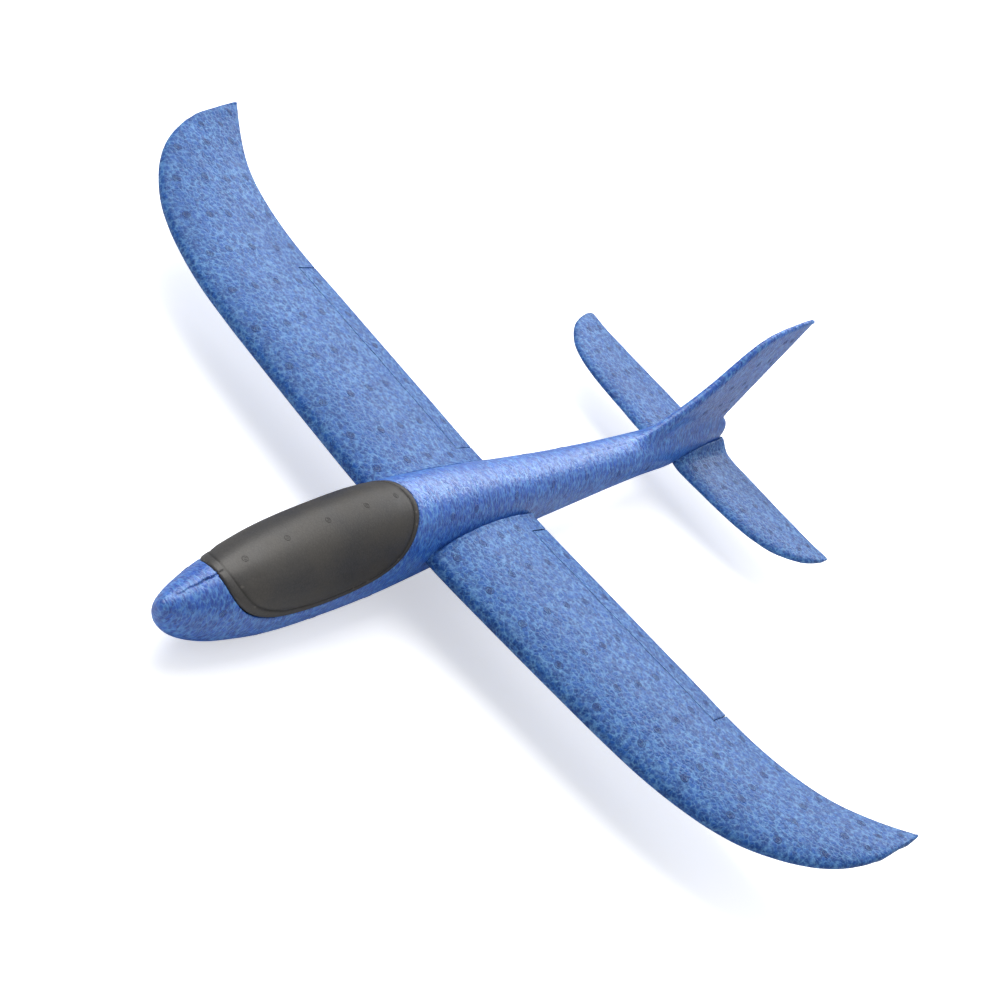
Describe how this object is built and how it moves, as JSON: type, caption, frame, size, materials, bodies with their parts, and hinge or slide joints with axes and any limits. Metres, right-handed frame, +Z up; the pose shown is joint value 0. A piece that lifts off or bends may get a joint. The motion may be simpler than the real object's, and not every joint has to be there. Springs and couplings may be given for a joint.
{
  "type": "toy airplane",
  "caption": "Hand-launch foam glider: a one-piece body with fin, a through wing with upswept tips and bendable ailerons, a push-in tailplane and a dark foam canopy.",
  "frame": {"origin": "middle of the bounding box in X and Y, at the lowest point of the belly", "axes": "+X to the glider's left wing tip, -Y towards the nose, +Z up when it lies level on its belly"},
  "size_m": [0.48, 0.4711, 0.1072],
  "materials": {
    "blue_foam": "moulded bead foam, cell pattern of fused beads a few millimetres across",
    "black_foam": "fine moulded foam, smooth satin skin",
    "steel": "turned steel slug"
  },
  "bodies": {
    "airframe": {"fuselage": "blue_foam", "canopy": "black_foam", "nose_weight": "steel", "wing": "blue_foam", "tailplane": "blue_foam", "aileron_hinge_left": "blue_foam", "aileron_hinge_right": "blue_foam"},
    "aileron_left": {"aileron_left": "blue_foam"},
    "aileron_right": {"aileron_right": "blue_foam"}
  },
  "joints": [
    {"name": "aileron_left_bend", "type": "hinge", "parent": "airframe", "child": "aileron_left", "pos_m": [0.0268, -0.0064, 0.03839], "axis": [0.9997, 0.0236, 0.0115], "range_deg": [-15, 20]},
    {"name": "aileron_right_bend", "type": "hinge", "parent": "airframe", "child": "aileron_right", "pos_m": [-0.0268, -0.0064, 0.03839], "axis": [0.9997, -0.0236, -0.0115], "range_deg": [-15, 20]}
  ]
}
